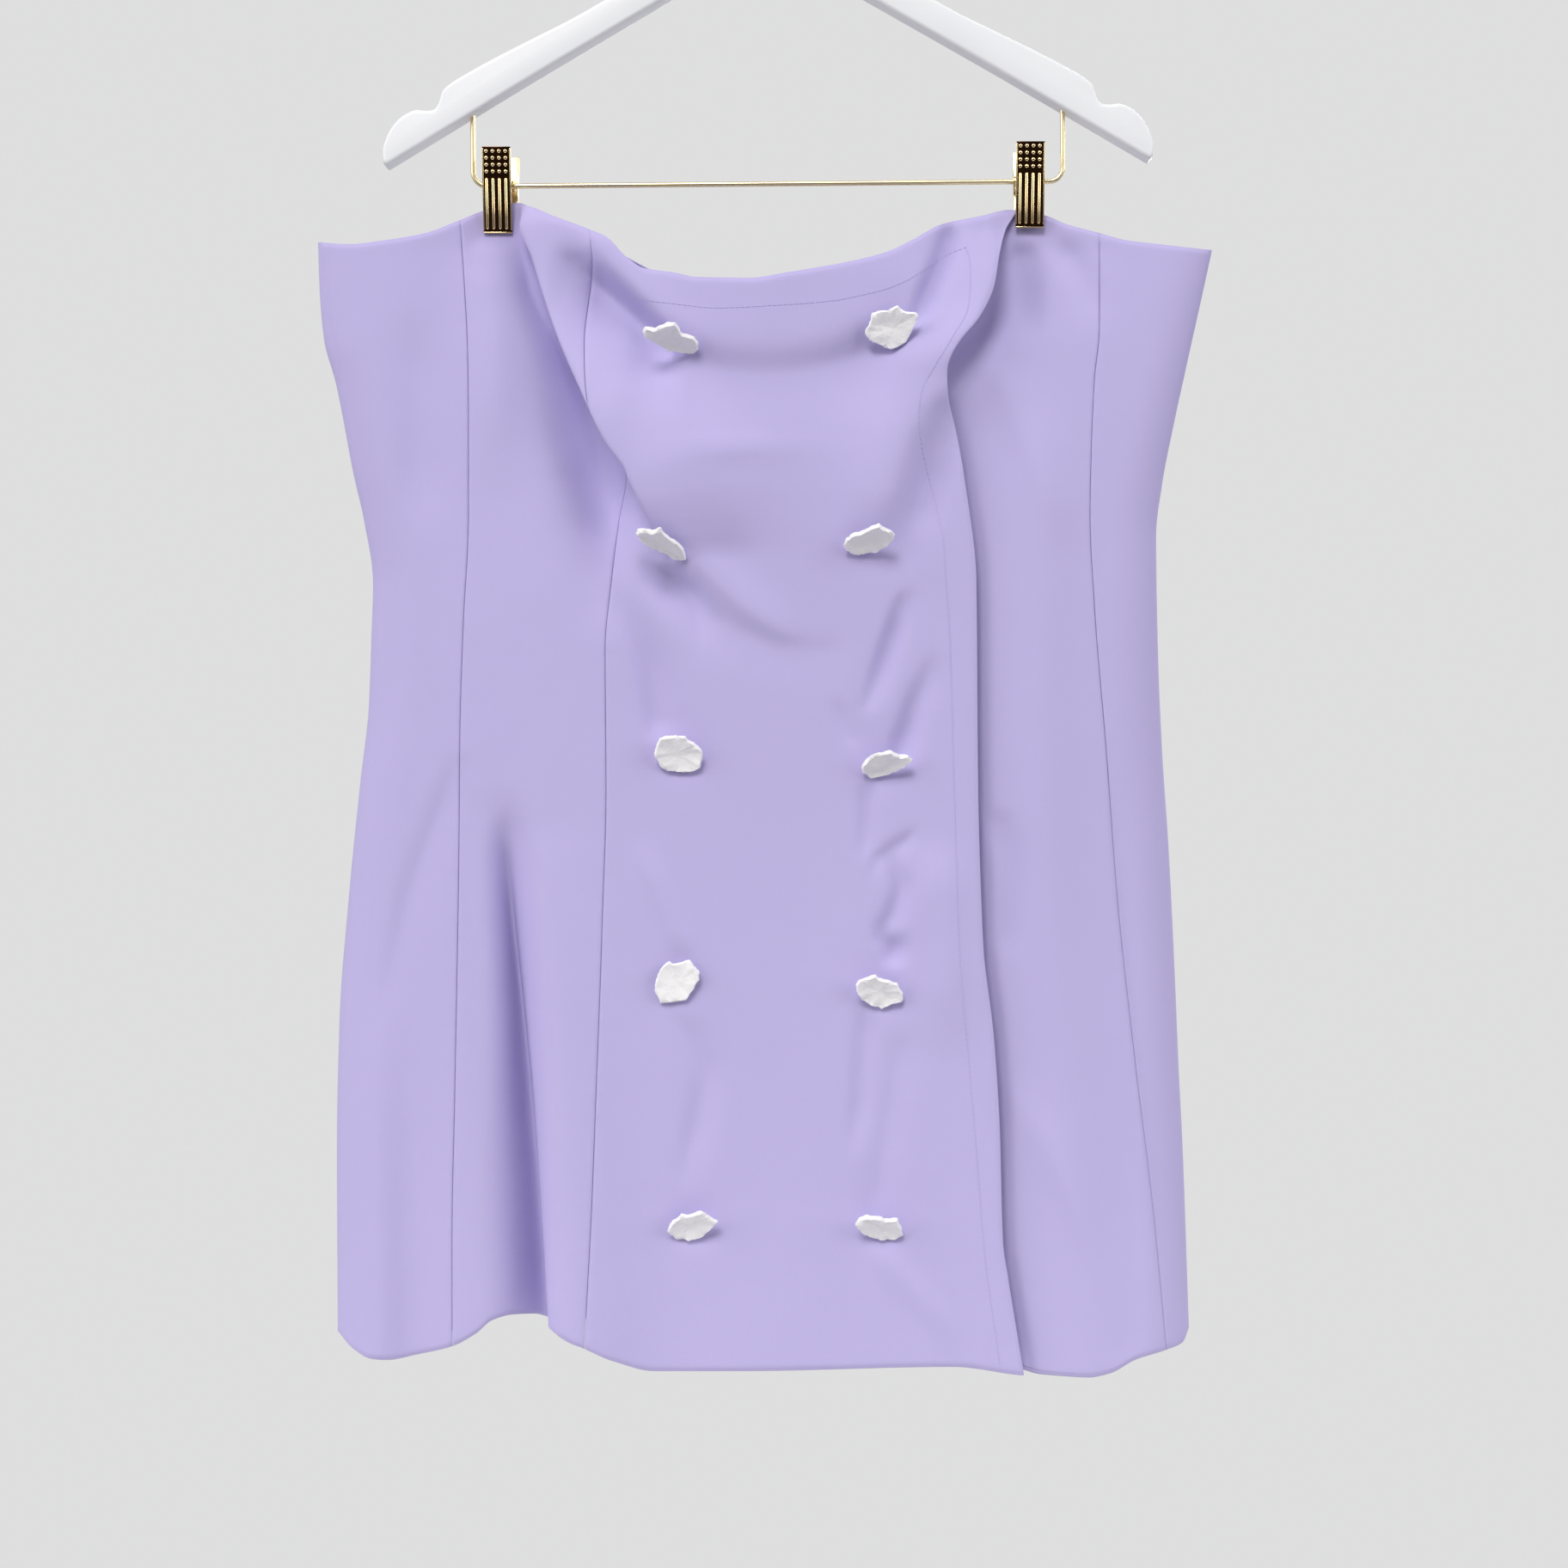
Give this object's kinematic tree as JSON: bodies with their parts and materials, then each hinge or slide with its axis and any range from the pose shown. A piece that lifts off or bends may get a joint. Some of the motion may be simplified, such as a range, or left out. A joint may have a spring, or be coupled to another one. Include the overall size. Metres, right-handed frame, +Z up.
{
  "type": "strapless dress on a clip hanger",
  "caption": "Strapless mini dress with a wrapped, topstitched front and two rows of nugget buttons, pinched at its top edge by the clips of a white hanger.",
  "frame": {"origin": "inner top of the hanger's hook, where a rod or wall hook carries it", "axes": "-Y is the front that the picture shows, +Z up, +X to the viewer's right"},
  "size_m": [0.52, 0.0935, 0.92],
  "materials": {
    "cloth": "smooth matte crepe",
    "button": "matte, chalky, faceted",
    "gold": "polished plating",
    "paint": "satin white paint"
  },
  "bodies": {
    "root": {"side_front_left": "cloth", "front_left": "cloth", "front_overlap": "cloth", "front_underlap": "cloth", "side_front_right": "cloth", "side_back_left_upper": "cloth", "side_back_left_lower": "cloth", "back": "cloth", "side_back_right": "cloth", "button_1_left": "button", "button_1_right": "button", "button_2_left": "button", "button_2_right": "button", "button_3_left": "button", "button_3_right": "button", "button_4_left": "button", "button_4_right": "button", "button_5_left": "button", "button_5_right": "button", "clip_left_front_jaw": "gold", "clip_left_rear_jaw": "gold", "clip_left_barrel": "gold", "clip_right_front_jaw": "gold", "clip_right_rear_jaw": "gold", "clip_right_barrel": "gold", "clip_bar": "gold", "hook": "gold", "hanger_body": "paint"}
  },
  "joints": []
}
